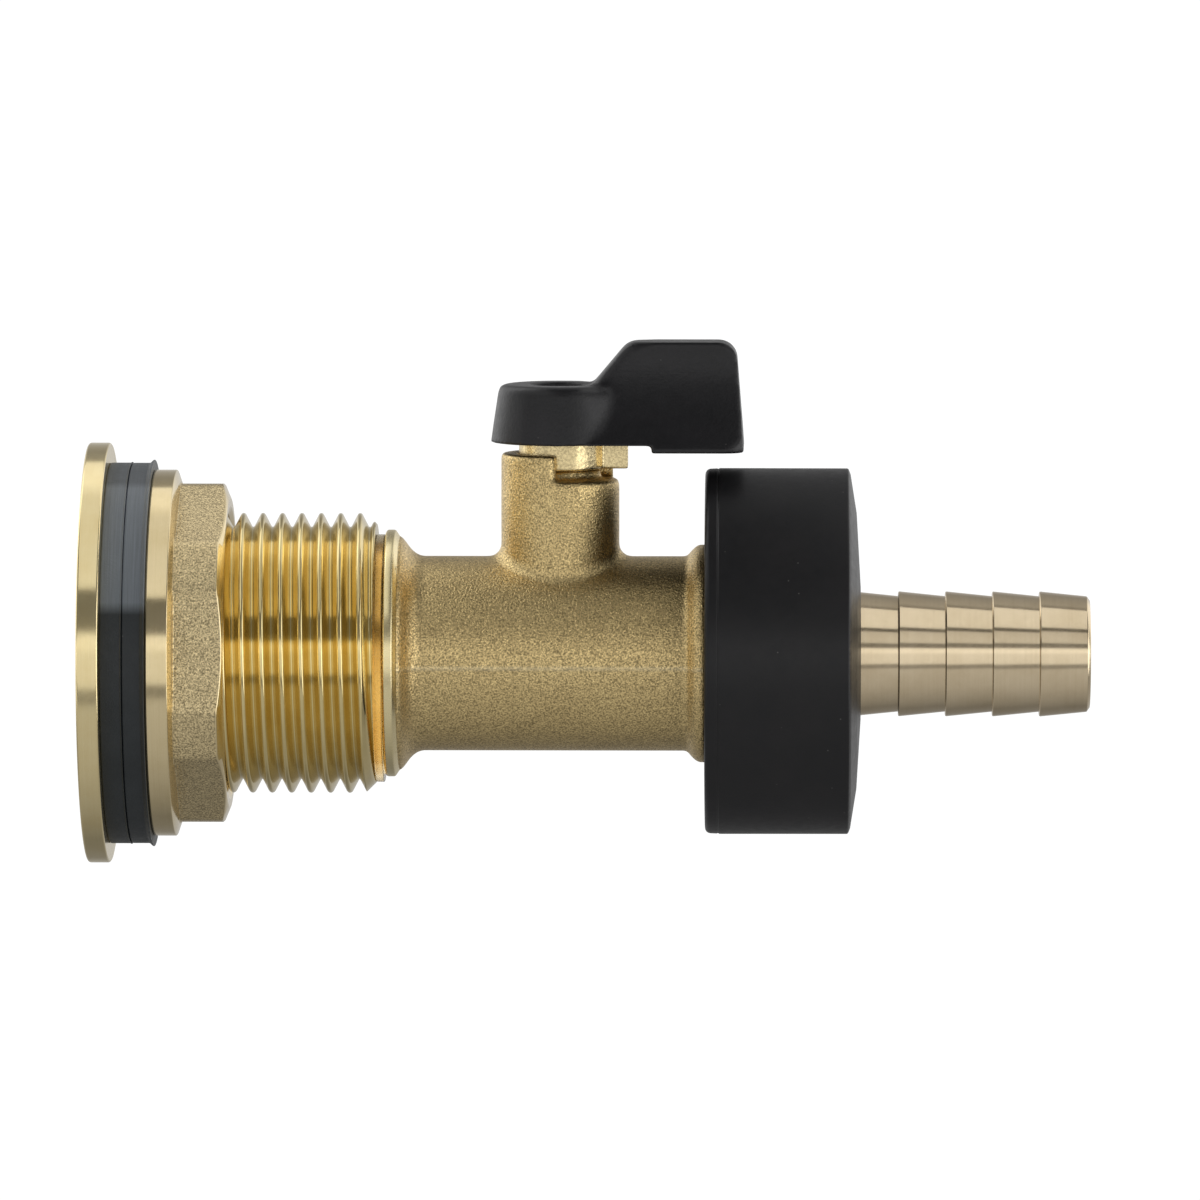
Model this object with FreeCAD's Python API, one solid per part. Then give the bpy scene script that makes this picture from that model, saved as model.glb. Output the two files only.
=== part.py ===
import FreeCAD, Part
import math
import os

from FreeCAD import Rotation, Vector

# Water butt tap: a brass tank connector clamped through the butt's wall, with a
# quarter-turn ball valve screwed into it and a barbed hosetail on its outlet.
# All sizes are in millimetres. X runs along the waterway, from inside the butt to
# the hose, Z is up through the handle, and the origin is on the waterway's axis
# in the plane where the two rubber washers meet, which is where the wall goes.

# Clearances
thread_fit = 0.08
slide_gap = 0.3
running_fit = 0.06
inner_fit = 0.05
stop_gap = 0.1
seat_gap = 0.1

# G1 thread of the barrel and G3/4 threads of the tap's two ends
barrel_r = 16.62
barrel_pitch = 2.309
barrel_depth = 1.6
barrel_flank = 27.5
barrel_thread_x = 1.635
spigot_r = 13.22

# Tank connector
flange_width = 8.33
flange_r = barrel_r + flange_width
flange_thick = 2.6
flange_chamfer = 0.35
barrel_end = 29.0
barrel_chamfer = 1.3
socket_step = 1.72
connector_bore_r = spigot_r - socket_step
socket_depth = 13.0
socket_chamfer = 0.6

# Rubber washers on each side of the wall
washer_width = 6.03
washer_r = barrel_r + washer_width
washer_thick = 2.6
lip_height = 0.35
lip_width = 0.6

# Backnut
backnut_width = 5.13
backnut_flange_r = barrel_r + backnut_width
backnut_flange_thick = 2.7
backnut_cone_length = 0.9
backnut_length = 9.3
hex_wall = 2.73
hex_across_flats = 2 * (barrel_r + hex_wall)
hex_corner_rise = 0.5
hex_height = hex_across_flats + 2 * hex_corner_rise
hex_face_width = 1.55
hex_face_r = barrel_r + hex_face_width
hex_chamfer_slope = 0.224
backnut_mouth = 0.7

# Seal ring, which hangs on the tap's inlet spigot
seal_thick = 1.0
seal_width = 0.85
seal_drop = 0.6
seal_play = 0.04

# Tap body
spigot_length = 12.5
spigot_chamfer = 0.9
collar_width = 1.53
collar_r = spigot_r + collar_width
collar_thick = 1.5
collar_chamfer = 0.45
shoulder_step = 0.75
shoulder_r = collar_r - shoulder_step
shoulder_length = 3.0
shoulder_edge = 0.5
shoulder_waist = 0.9
shoulder_root = 0.27
body_wall = 3.5
bead_step = 0.32
bead_r = spigot_r - bead_step
bead_start = 65.6
bead_rise = (0.83, 0.75)
bead_crest = 1.6
bead_end = 68.4
relief_length = 1.2
relief_depth = 1.32
relief_r = spigot_r - relief_depth
outlet_end = 77.6
inlet_bore_r = 6.5
valve_x = 50.8

# Tower and its quarter-turn stop
tower_r = 7.0
tower_fillet = 1.5
shelf_z = 20.9
shelf_fillet = 0.7
boss_r = 4.75
boss_z = 21.9
wall_z = 23.9
wall_end_fillet = 1.0

# Ball, seats and retainer
ball_r = 7.75
body_r = ball_r + slide_gap + body_wall
port_r = 4.75
ball_slot_z = 5.5
seat_bore_r = 5.0
seat_thick = 2.8
seat_reach = 3.15
seat_inner_x = ball_r - seat_reach
seat_contact_angle = 46
retainer_length = 6.0
retainer_bore_r = 5.0
retainer_hex = 12.0
retainer_hex_depth = 2.5

# Stem
stem_r = 3.4
stem_flange_r = 4.15
stem_flange_z = 9.0
stem_flange_thick = 1.5
thrust_thick = 0.5
tang_width = 7.6
tang_thick = 2.9
stem_square = 4.4
stem_top_z = 26.9
groove_root_r = 2.35
groove_width = 1.4
groove_z = (13.6, 16.8)
o_ring_section = 1.0

# Stop plate under the handle
plate_r = 4.9
plate_z = 22.0
lug_reach = 8.0
lug_width = 3.2
lug_lead = 0.3
lug_fillet = 0.6

# Handle
hub_r = 8.23
hub_top_r = 7.35
hub_z = 25.36
hub_top_z = 32.05
hub_fillet = 0.9
grip_top_z = 37.18
grip_end = 21.8
grip_end_draft = 0.8
grip_half_width = 8.0
grip_top_half_width = 3.3
grip_corner = 2.2
ramp_start = 3.8
ramp_end = 8.1
ramp_round = 1.1
skirt_start = 10.9
skirt_drop = 0.86
scoop_r = 14.9
scoop_z = 36.0
grip_wall = 1.9
recess_r = 3.45
recess_floor_z = 28.2
socket_roof_z = 27.0

# Handle screw and its spring washer
screw_r = 1.5
screw_head_r = 2.8
screw_head_height = 1.9
screw_length = 6.5
screw_washer_r = 3.1
screw_washer_thick = 0.7

# Union nut
nut_wall = 8.4
nut_r = spigot_r + thread_fit + nut_wall
nut_start = 68.0
nut_rim_x = 84.95
nut_nose_x = 86.45
nut_corner = 1.1
nut_far_corner = 0.4
nut_dome_rise = 0.95
nut_dome_drop = 5.32
nut_lip_gap = 0.1
nut_mouth = 1.0

# Hosetail and its washer
tail_washer_thick = 2.5
tail_flange_thick = 2.4
tail_flange_play = 0.5
tail_flange_r = spigot_r + thread_fit - tail_flange_play
tail_neck_r = 7.3
tail_washer_bore_r = 6.0
tail_bore_r = 5.4
barb_r = 7.43
barb_root_r = 6.86
barb_first_x = 85.3
barb_spacing = 5.575
barb_count = 5
tail_end = 113.6
tail_end_chamfer = (0.5, 1.05)

# share of a quarter arc's radius from its middle to its corner
arc_mid = 1 - math.sqrt(0.5)
X = Vector(1, 0, 0)
Z = Vector(0, 0, 1)
VALVE = Vector(valve_x, 0, 0)


def outline(points, place):
    """A closed face through points; a point of four numbers is an arc's middle and end."""
    ends = [place(*p[-2:]) for p in points]
    edges = []
    for start, end, point in zip(ends, ends[1:] + ends[:1], points[1:] + points[:1]):
        if len(point) == 4:
            edges.append(Part.Arc(start, place(*point[:2]), end).toShape())
        else:
            edges.append(Part.LineSegment(start, end).toShape())
    return Part.Face(Part.Wire(edges))


def turned(points):
    """Turned about the waterway's axis; points are (x, radius)."""
    return outline(points, lambda x, r: Vector(x, 0, r)).revolve(Vector(), X, 360)


def turned_upright(points):
    """Turned about the stem's axis; points are (radius, z)."""
    return outline(points, lambda r, z: Vector(valve_x + r, 0, z)).revolve(VALVE, Z, 360)


def rod(r, start, end):
    return Part.makeCylinder(r, end - start, Vector(start, 0, 0), X)


def post(r, low, high):
    return Part.makeCylinder(r, high - low, Vector(valve_x, 0, low), Z)


def block(x, y, z):
    """A box beside the stem's axis, from (low, high) pairs."""
    size = (x[1] - x[0], y[1] - y[0], z[1] - z[0])
    return Part.makeBox(*size, Vector(valve_x + x[0], y[0], z[0]))


def upright_hexagon(across_flats, start, end):
    """A hexagon along X with a flat towards each side and a corner up."""
    corner = across_flats / math.sqrt(3)
    angles = [math.radians(90 + 60 * i) for i in range(6)]
    points = [Vector(start, corner * math.cos(a), corner * math.sin(a)) for a in angles]
    return Part.Face(Part.makePolygon(points + points[:1])).extrude(X * (end - start))


def edges_where(shape, test):
    return [e for e in shape.Edges if test(e.CenterOfMass, e.BoundBox)]


def barrel_groove():
    """The V groove between the barrel's threads: a right-handed helix past the barrel's end."""
    root_r = barrel_r - barrel_depth
    half = (barrel_depth + slide_gap) * math.tan(math.radians(barrel_flank))
    turns = math.ceil((barrel_end - barrel_thread_x) / barrel_pitch) + 1
    rim_r = barrel_r + slide_gap
    corners = [Vector(root_r, 0, 0), Vector(rim_r, 0, half), Vector(rim_r, 0, -half)]
    path = Part.Wire(Part.makeHelix(barrel_pitch, turns * barrel_pitch, root_r))
    sweep = Part.BRepOffsetAPI.MakePipeShell(path)
    sweep.setFrenetMode(True)
    sweep.add(Part.makePolygon(corners + corners[:1]))
    sweep.build()
    sweep.makeSolid()
    groove = sweep.shape()
    groove.rotate(Vector(), Vector(0, 1, 0), 90)
    groove.translate(X * barrel_thread_x)
    return groove


def tank_connector():
    face = -washer_thick
    back = face - flange_thick
    socket_r = spigot_r + thread_fit
    socket_x = barrel_end - socket_depth
    # the thread is cut in a longer bar, which is then cut off with its chamfer and bored
    bar = rod(barrel_r, face, barrel_end + 3 * barrel_pitch).cut(barrel_groove())
    chamfer_x = barrel_end - barrel_chamfer - slide_gap
    bar = bar.common(turned([
        (face, 0),
        (face, barrel_r + slide_gap),
        (chamfer_x, barrel_r + slide_gap),
        (barrel_end, barrel_r - barrel_chamfer),
        (barrel_end, 0),
    ]))
    bar = bar.cut(turned([
        (face, 0),
        (face, connector_bore_r),
        (socket_x, connector_bore_r),
        (socket_x, socket_r),
        (barrel_end - socket_chamfer, socket_r),
        (barrel_end, socket_r + socket_chamfer),
        (barrel_end, 0),
    ]))
    flange = turned([
        (back, connector_bore_r),
        (back, flange_r - flange_chamfer),
        (back + flange_chamfer, flange_r),
        (face - flange_chamfer, flange_r),
        (face, flange_r - flange_chamfer),
        (face, connector_bore_r),
    ])
    return bar.fuse(flange).removeSplitter()


def wall_washer(start, has_lip):
    end = start + washer_thick
    bore_r = barrel_r + slide_gap
    rim = [(start, washer_r)]
    if has_lip:
        rim += [(end - lip_width, washer_r), (end - lip_width / 4, washer_r + lip_height)]
        rim += [(end, washer_r + lip_height)]
    else:
        rim += [(end, washer_r)]
    return turned([(start, bore_r)] + rim + [(end, bore_r)])


def backnut():
    start = washer_thick
    end = start + backnut_length
    cone_start = start + backnut_flange_thick
    cone_end = cone_start + backnut_cone_length
    corner_r = hex_across_flats / math.sqrt(3)
    face_drop = (corner_r - hex_face_r) * hex_chamfer_slope
    prism = upright_hexagon(hex_across_flats, cone_start, end)
    half = hex_height / 2
    trim = Part.makeBox(backnut_length, 2 * corner_r, hex_height, Vector(cone_start, -corner_r, -half))
    envelope = turned([
        (cone_start, 0),
        (cone_start, corner_r),
        (end - face_drop, corner_r),
        (end, hex_face_r),
        (end, 0),
    ])
    flange = turned([
        (start, 0),
        (start, backnut_flange_r - flange_chamfer),
        (start + flange_chamfer, backnut_flange_r),
        (cone_start, backnut_flange_r),
        (cone_end, hex_across_flats / 2),
        (cone_end, 0),
    ])
    bore_r = barrel_r + thread_fit
    bore = turned([
        (start - 1, 0),
        (start - 1, bore_r + backnut_mouth),
        (start, bore_r + backnut_mouth),
        (start + backnut_mouth, bore_r),
        (end - backnut_mouth, bore_r),
        (end, bore_r + backnut_mouth),
        (end + 1, bore_r + backnut_mouth),
        (end + 1, 0),
    ])
    return prism.common(trim).common(envelope).fuse(flange).cut(bore).removeSplitter()


def seal_ring():
    inner = spigot_r + seal_drop + seal_play
    ring = rod(inner + seal_width, barrel_end, barrel_end + seal_thick)
    ring = ring.cut(rod(inner, barrel_end, barrel_end + seal_thick))
    ring.translate(Vector(0, 0, -seal_drop))
    return ring


def body_shell():
    collar_x = barrel_end + seal_thick
    collar_far = collar_x + collar_thick
    tube_x = collar_far + shoulder_length
    quarter = shoulder_length / 4
    bend = collar_far + 2 * quarter
    bend_r = body_r + shoulder_waist
    start = collar_x - spigot_length
    thread_x = bead_end + relief_length
    return turned([
        (start, 0),
        (start, spigot_r - spigot_chamfer),
        (start + spigot_chamfer, spigot_r),
        (collar_x, spigot_r),
        (collar_x, collar_r - collar_chamfer),
        (collar_x + collar_chamfer, collar_r),
        (collar_far - collar_chamfer, collar_r),
        (collar_far, collar_r - collar_chamfer),
        (collar_far, shoulder_r),
        (collar_far + quarter, shoulder_r - shoulder_edge),
        (bend, bend_r),
        (bend + quarter, body_r + shoulder_root),
        (tube_x, body_r),
        (bead_start, body_r),
        (bead_start + bead_rise[0], body_r + bead_rise[1]),
        (bead_start + bead_crest, bead_r),
        (bead_end, bead_r),
        (bead_end, relief_r),
        (thread_x, relief_r),
        (thread_x + spigot_chamfer, spigot_r),
        (outlet_end - spigot_chamfer, spigot_r),
        (outlet_end, spigot_r - spigot_chamfer),
        (outlet_end, 0),
    ])


def tap_body():
    shape = body_shell().fuse(post(tower_r, 0, wall_z)).removeSplitter()
    base = edges_where(shape, lambda c, b: b.ZMin > body_r * 0.7 and b.ZMax < body_r * 1.01
                       and b.XLength < tower_r * 2.1)
    shape = shape.makeFillet(tower_fillet, base)

    # the quarter that the stop plate's lug sweeps is cut down to a shelf round the boss
    reach = tower_r + 2
    open_x = -lug_lead - stop_gap
    open_y = lug_width - lug_lead + stop_gap
    swept = block((open_x, reach), (-reach, open_y), (shelf_z, wall_z + 1))
    swept = swept.fuse(post(plate_r + slide_gap, shelf_z, wall_z + 1))
    shape = shape.cut(swept.cut(post(boss_r, shelf_z, boss_z)))
    wall_end = edges_where(shape, lambda c, b: b.XLength < 0.01 and b.YLength < 0.01
                           and abs(c.x - valve_x - open_x) < 0.01 and c.y < -tower_r * 0.9)
    shape = shape.makeFillet(wall_end_fillet, wall_end)

    # the shelf's outer edge is rounded
    low, edge = shelf_z - shelf_fillet, tower_r - shelf_fillet
    waste = turned_upright([
        (tower_r + 1, low),
        (tower_r, low),
        (tower_r - shelf_fillet * arc_mid, shelf_z - shelf_fillet * arc_mid, edge, shelf_z),
        (tower_r + 1, shelf_z),
    ])
    quarter = block((open_x, reach), (-reach, open_y), (low, shelf_z))
    shape = shape.cut(waste.common(quarter))

    # waterway, seat pocket and the stem's bore
    seat_x = seat_inner_x + seat_thick
    chamber_r = ball_r + slide_gap
    shape = shape.cut(rod(inlet_bore_r, 0, valve_x))
    shape = shape.cut(rod(chamber_r, valve_x - seat_x, outlet_end))
    shoulder_z = stem_flange_z + stem_flange_thick + thrust_thick
    shape = shape.cut(post(stem_flange_r + slide_gap / 2, 0, shoulder_z))
    return shape.cut(post(stem_r + running_fit, shoulder_z, boss_z))


def seat(side):
    """A seat ring with a conical face that touches the ball, on the given side of it."""
    outer = ball_r + slide_gap - inner_fit
    near, far = seat_inner_x, seat_inner_x + seat_thick
    # the cone lies a running fit off the ball, square to the line through the contact
    slope = math.radians(seat_contact_angle)
    touch = (ball_r + inner_fit) * math.cos(slope), (ball_r + inner_fit) * math.sin(slope)
    mouth_r = touch[1] + (touch[0] - near) / math.tan(slope)
    throat_x = touch[0] + (touch[1] - seat_bore_r) * math.tan(slope)
    ring = turned([
        (near, mouth_r),
        (near, outer),
        (far, outer),
        (far, seat_bore_r),
        (throat_x, seat_bore_r),
    ])
    if side < 0:
        ring.rotate(Vector(), Z, 180)
    ring.translate(VALVE)
    return ring


def seat_retainer():
    start = valve_x + seat_inner_x + seat_thick
    end = start + retainer_length
    ring = rod(ball_r + slide_gap - inner_fit, start, end)
    ring = ring.cut(rod(retainer_bore_r, start, end))
    return ring.cut(upright_hexagon(retainer_hex, end - retainer_hex_depth, end))


def ball():
    mouth_x = math.sqrt(ball_r ** 2 - port_r ** 2)
    shape = turned([
        (valve_x - mouth_x, port_r),
        (valve_x, ball_r, valve_x + mouth_x, port_r),
    ])
    half = tang_thick / 2 + seat_gap
    return shape.cut(block((-half, half), (-ball_r, ball_r), (ball_slot_z, ball_r)))


def square_post(across, low, high):
    half = across / 2
    return block((-half, half), (-half, half), (low, high))


def stem():
    flange_top = stem_flange_z + stem_flange_thick
    points = [(0, stem_flange_z), (stem_flange_r, stem_flange_z), (stem_flange_r, flange_top)]
    points += [(stem_r, flange_top)]
    for z in groove_z:
        low, high = z - groove_width / 2, z + groove_width / 2
        points += [(stem_r, low), (groove_root_r, low), (groove_root_r, high), (stem_r, high)]
    points += [(stem_r, plate_z), (0, plate_z)]
    shape = turned_upright(points)
    half = tang_thick / 2
    reach = tang_width / 2
    tang = block((-half, half), (-reach, reach), (ball_slot_z + seat_gap, stem_flange_z + 0.5))
    key = square_post(stem_square, plate_z - 0.5, stem_top_z)
    shape = shape.fuse(tang).fuse(key.common(post(stem_r - 0.4, plate_z - 1, stem_top_z)))
    hole = post(screw_r + inner_fit, recess_floor_z - screw_length - 0.5, stem_top_z)
    return shape.cut(hole).removeSplitter()


def thrust_washer():
    low = stem_flange_z + stem_flange_thick
    ring = post(stem_flange_r, low, low + thrust_thick)
    return ring.cut(post(stem_r + inner_fit, low, low + thrust_thick))


def o_ring(z):
    small_r = o_ring_section / 2
    centre_r = groove_root_r + inner_fit + small_r
    corners = [math.radians(22.5 + 45 * i) for i in range(8)]
    return turned_upright([(centre_r + small_r * math.cos(a), z + small_r * math.sin(a)) for a in corners])


def stop_plate():
    shape = post(plate_r, plate_z, hub_z)
    low, high = -lug_lead, lug_width - lug_lead
    lug = block((0, lug_reach), (low, high), (plate_z, hub_z))
    shape = shape.fuse(lug).removeSplitter()
    roots = edges_where(shape, lambda c, b: b.ZLength > (hub_z - plate_z) / 2
                        and b.XLength < 0.01 and b.YLength < 0.01
                        and plate_r / 2 < c.x - valve_x < plate_r * 1.05)
    shape = shape.makeFillet(lug_fillet, roots)
    key = square_post(stem_square + 2 * inner_fit, plate_z, hub_z)
    return shape.cut(key.common(post(stem_r - 0.4 + inner_fit, plate_z, hub_z)))


def handle():
    hub = turned_upright([
        (0, hub_z),
        (hub_r, hub_z),
        (hub_top_r, hub_top_z - hub_fillet),
        (hub_top_r - hub_fillet * arc_mid, hub_top_z - hub_fillet * arc_mid),
        (hub_top_r - hub_fillet, hub_top_z),
        (0, hub_top_z),
    ])
    # side view of the lever: ramp, flat top, drafted end and the skirt that drops below the hub
    skirt_z = hub_z - skirt_drop
    top_end = grip_end - grip_end_draft
    edge = grip_corner
    bulge = edge * arc_mid
    # the ramp's top is rounded: its direction, and the middle of the arc
    ramp = math.atan2(grip_top_z - hub_top_z, ramp_end - ramp_start)
    rise_x, rise_z = math.cos(ramp), math.sin(ramp)
    arc_r = ramp_round / math.tan(ramp / 2)
    near_x = ramp_round - arc_r * math.sin(ramp / 2)
    near_z = arc_r * (1 - math.cos(ramp / 2))
    side = outline([
        (0, hub_z),
        (0, hub_top_z),
        (ramp_start, hub_top_z),
        (ramp_end - rise_x * ramp_round, grip_top_z - rise_z * ramp_round),
        (ramp_end + near_x, grip_top_z - near_z, ramp_end + ramp_round, grip_top_z),
        (top_end - edge, grip_top_z),
        (top_end - bulge, grip_top_z - bulge, top_end, grip_top_z - edge),
        (grip_end, skirt_z),
        (skirt_start, skirt_z),
        (skirt_start, hub_z),
    ], lambda x, z: Vector(valve_x + x, -grip_half_width, z))
    lever = side.extrude(Vector(0, 2 * grip_half_width, 0))
    half = grip_half_width
    end = grip_end
    plan = outline([
        (0, -half),
        (end - edge, -half),
        (end - bulge, -half + bulge, end, -half + edge),
        (end, half - edge),
        (end - bulge, half - bulge, end - edge, half),
        (0, half),
    ], lambda x, y: Vector(valve_x + x, y, skirt_z))
    lever = lever.common(plan.extrude(Vector(0, 0, grip_top_z - skirt_z)))
    for side_sign in (-1, 1):
        centre = Vector(valve_x, side_sign * (grip_top_half_width + scoop_r), scoop_z)
        lever = lever.cut(Part.makeCylinder(scoop_r, grip_end, centre, X))
    shape = hub.fuse(lever).removeSplitter()

    # screw recess, screw hole and the socket for the stem's square
    shape = shape.cut(post(recess_r, recess_floor_z, grip_top_z))
    shape = shape.cut(post(screw_r + slide_gap / 2, hub_z, grip_top_z))
    socket = square_post(stem_square + 2 * inner_fit, hub_z, socket_roof_z)
    shape = shape.cut(socket.common(post(stem_r - 0.4 + inner_fit, hub_z, socket_roof_z)))

    # the moulding is cored out from below, leaving an even wall
    low_half = grip_half_width - grip_wall
    core = block((skirt_start, top_end - grip_wall), (-low_half, low_half), (skirt_z, hub_z + 0.4))
    rib = grip_top_half_width - grip_wall
    rib_core = block((skirt_start, top_end - grip_wall), (-rib, rib), (skirt_z, grip_top_z - grip_wall))
    return shape.cut(core.fuse(rib_core))


def handle_screw():
    seat_z = recess_floor_z + screw_washer_thick
    top = seat_z + screw_head_height
    tip = recess_floor_z - screw_length
    shape = turned_upright([
        (0, tip),
        (screw_r - 0.4, tip),
        (screw_r, tip + 0.4),
        (screw_r, seat_z),
        (screw_head_r, seat_z),
        (screw_head_r, seat_z + screw_head_height * 0.45),
        (screw_head_r * 0.86, seat_z + screw_head_height * 0.85),
        (screw_head_r * 0.5, top),
        (0, top),
    ])
    arm, half = 1.5, 0.35
    for x, y in ((arm, half), (half, arm)):
        shape = shape.cut(block((-x, x), (-y, y), (top - 1.1, top)))
    return shape


def screw_washer():
    low, high = recess_floor_z, recess_floor_z + screw_washer_thick
    ring = post(screw_washer_r, low, high).cut(post(screw_r + 0.15, low, high))
    return ring.cut(block((0, screw_washer_r), (-0.3, 0.3), (low, high)))


def union_nut():
    bore_r = spigot_r + thread_fit
    lip_x = outlet_end + tail_washer_thick + tail_flange_thick + nut_lip_gap
    lip_r = barb_r + slide_gap
    c = nut_corner
    return turned([
        (nut_start, bore_r + nut_mouth),
        (nut_start, nut_r - c),
        (nut_start + c * arc_mid, nut_r - c * arc_mid),
        (nut_start + c, nut_r),
        (nut_rim_x - nut_far_corner, nut_r),
        (nut_rim_x, nut_r - nut_far_corner),
        (nut_rim_x + nut_dome_rise, nut_r - nut_dome_drop),
        (nut_nose_x, lip_r),
        (lip_x, lip_r),
        (lip_x, bore_r),
        (nut_start + nut_mouth, bore_r),
    ])


def hosetail_washer():
    ring = rod(tail_flange_r, outlet_end, outlet_end + tail_washer_thick)
    return ring.cut(rod(tail_washer_bore_r, outlet_end, outlet_end + tail_washer_thick))


def hosetail():
    start = outlet_end + tail_washer_thick
    flange_end = start + tail_flange_thick
    points = [(start, tail_bore_r), (start, tail_flange_r), (flange_end, tail_flange_r)]
    points += [(flange_end, tail_neck_r), (barb_first_x, tail_neck_r)]
    for i in range(barb_count):
        crest = barb_first_x + i * barb_spacing
        foot = crest + barb_spacing
        points += [(crest, barb_r)]
        if i < barb_count - 1:
            points += [(foot, barb_root_r)]
    length, drop = tail_end_chamfer
    points += [(tail_end - length, barb_root_r), (tail_end, barb_root_r - drop)]
    return turned(points + [(tail_end, tail_bore_r)])


PIECES = {
    "tank_connector": tank_connector(),
    "inner_washer": wall_washer(-washer_thick, False),
    "outer_washer": wall_washer(0, True),
    "backnut": backnut(),
    "seal_ring": seal_ring(),
    "tap_body": tap_body(),
    "inlet_seat": seat(-1),
    "outlet_seat": seat(1),
    "seat_retainer": seat_retainer(),
    "ball": ball(),
    "stem": stem(),
    "stem_thrust_washer": thrust_washer(),
    "stem_o_ring_lower": o_ring(groove_z[0]),
    "stem_o_ring_upper": o_ring(groove_z[1]),
    "stop_plate": stop_plate(),
    "handle": handle(),
    "handle_screw": handle_screw(),
    "screw_washer": screw_washer(),
    "union_nut": union_nut(),
    "hosetail_washer": hosetail_washer(),
    "hosetail": hosetail(),
}

os.makedirs("parts", exist_ok=True)
for name, shape in PIECES.items():
    shape.exportStep(f"parts/{name}.step")
    print(f"{name:20s} solids {len(shape.Solids)} valid {shape.isValid()} volume {shape.Volume:9.1f}")
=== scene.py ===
"""The looks of a water butt tap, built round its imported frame.

The tap's own sizes are in millimetres; the floor, the lights and the camera are in metres. X runs along the
tap from the tank to the hose, -Y is towards the camera and Z is up.
"""

import math

import bmesh
import bpy
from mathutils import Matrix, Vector


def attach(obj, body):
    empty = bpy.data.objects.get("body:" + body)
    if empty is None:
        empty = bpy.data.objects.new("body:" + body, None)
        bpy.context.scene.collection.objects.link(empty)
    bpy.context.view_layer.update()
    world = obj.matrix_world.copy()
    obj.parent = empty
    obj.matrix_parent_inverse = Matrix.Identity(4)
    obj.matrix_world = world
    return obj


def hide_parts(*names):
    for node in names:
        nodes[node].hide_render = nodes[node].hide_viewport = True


MM = 0.001

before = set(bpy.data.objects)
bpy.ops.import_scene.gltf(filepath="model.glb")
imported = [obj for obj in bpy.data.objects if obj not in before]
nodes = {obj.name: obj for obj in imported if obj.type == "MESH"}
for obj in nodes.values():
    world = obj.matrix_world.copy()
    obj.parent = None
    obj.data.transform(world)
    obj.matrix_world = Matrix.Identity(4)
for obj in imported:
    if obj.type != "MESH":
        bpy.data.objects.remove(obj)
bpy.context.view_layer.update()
scene = bpy.context.scene


def span(node_name):
    """A CAD node's first x, last x and greatest radius about the X axis."""
    points = [v.co / MM for v in nodes[node_name].data.vertices]
    along_x = [p.x for p in points]
    radii = [math.hypot(p.y, p.z) for p in points]
    return round(min(along_x), 3), round(max(along_x), 3), round(max(radii), 3)


def smoothstep(x, low, high):
    t = min(max((x - low) / (high - low), 0), 1)
    return t * t * (3 - 2 * t)


# Materials

class Nodes:
    """A node tree, with short calls for the nodes used here."""

    def __init__(self, tree):
        self.tree = tree

    def add(self, kind, **settings):
        node = self.tree.nodes.new("ShaderNode" + kind)
        for key, value in settings.items():
            setattr(node, key, value)
        return node

    def put(self, socket, value):
        """Links a socket to another or sets its value; a colour is given as three values."""
        if isinstance(value, bpy.types.NodeSocket):
            self.tree.links.new(value, socket)
        elif socket.type == "RGBA":
            socket.default_value = (*value, 1)
        else:
            socket.default_value = value

    def noise(self, vector, scale, detail=4.0, roughness=0.55):
        node = self.add("TexNoise")
        self.put(node.inputs["Vector"], vector)
        for name, number in (("Scale", scale), ("Detail", detail), ("Roughness", roughness)):
            self.put(node.inputs[name], number)
        return node.outputs["Fac"]

    def cells(self, vector, scale):
        node = self.add("TexVoronoi")
        self.put(node.inputs["Vector"], vector)
        self.put(node.inputs["Scale"], scale)
        return node.outputs["Distance"]

    def spread(self, value, low, high, to_low=0.0, to_high=1.0):
        node = self.add("MapRange", clamp=True)
        self.put(node.inputs["Value"], value)
        for name, number in (("From Min", low), ("From Max", high), ("To Min", to_low), ("To Max", to_high)):
            self.put(node.inputs[name], number)
        return node.outputs["Result"]

    def math(self, operation, a, b=0.0):
        node = self.add("Math", operation=operation)
        self.put(node.inputs[0], a)
        self.put(node.inputs[1], b)
        return node.outputs[0]

    def axis(self, vector, name):
        node = self.add("SeparateXYZ")
        self.put(node.inputs[0], vector)
        return node.outputs[name]

    def mix(self, factor, a, b, how="MIX"):
        node = self.add("Mix", data_type="RGBA", blend_type=how)
        self.put(node.inputs["Factor"], factor)
        self.put(node.inputs[6], a)
        self.put(node.inputs[7], b)
        return node.outputs[2]


class Shader(Nodes):
    """A material's node tree."""

    def __init__(self, name):
        self.name = name
        self.material = bpy.data.materials.new(name)
        self.material.use_nodes = True
        super().__init__(self.material.node_tree)
        self.bsdf = self.tree.nodes["Principled BSDF"]

    def set(self, name, value):
        self.put(self.bsdf.inputs[name], value)

    def place(self, scale=(1, 1, 1)):
        """The piece's own coordinates in millimetres, scaled by axis."""
        coord = self.add("TexCoord")
        mapping = self.add("Mapping")
        self.put(mapping.inputs["Vector"], coord.outputs["Object"])
        mapping.inputs["Scale"].default_value = [s / MM for s in scale]
        return mapping.outputs["Vector"]

    def bump(self, height, depth, below=None):
        """A normal from a height of 0 to 1 that stands for depth in millimetres."""
        node = self.add("Bump")
        self.put(node.inputs["Strength"], 1.0)
        self.put(node.inputs["Distance"], depth * MM)
        self.put(node.inputs["Height"], height)
        if below is not None:
            self.put(node.inputs["Normal"], below)
        return node.outputs["Normal"]


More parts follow.
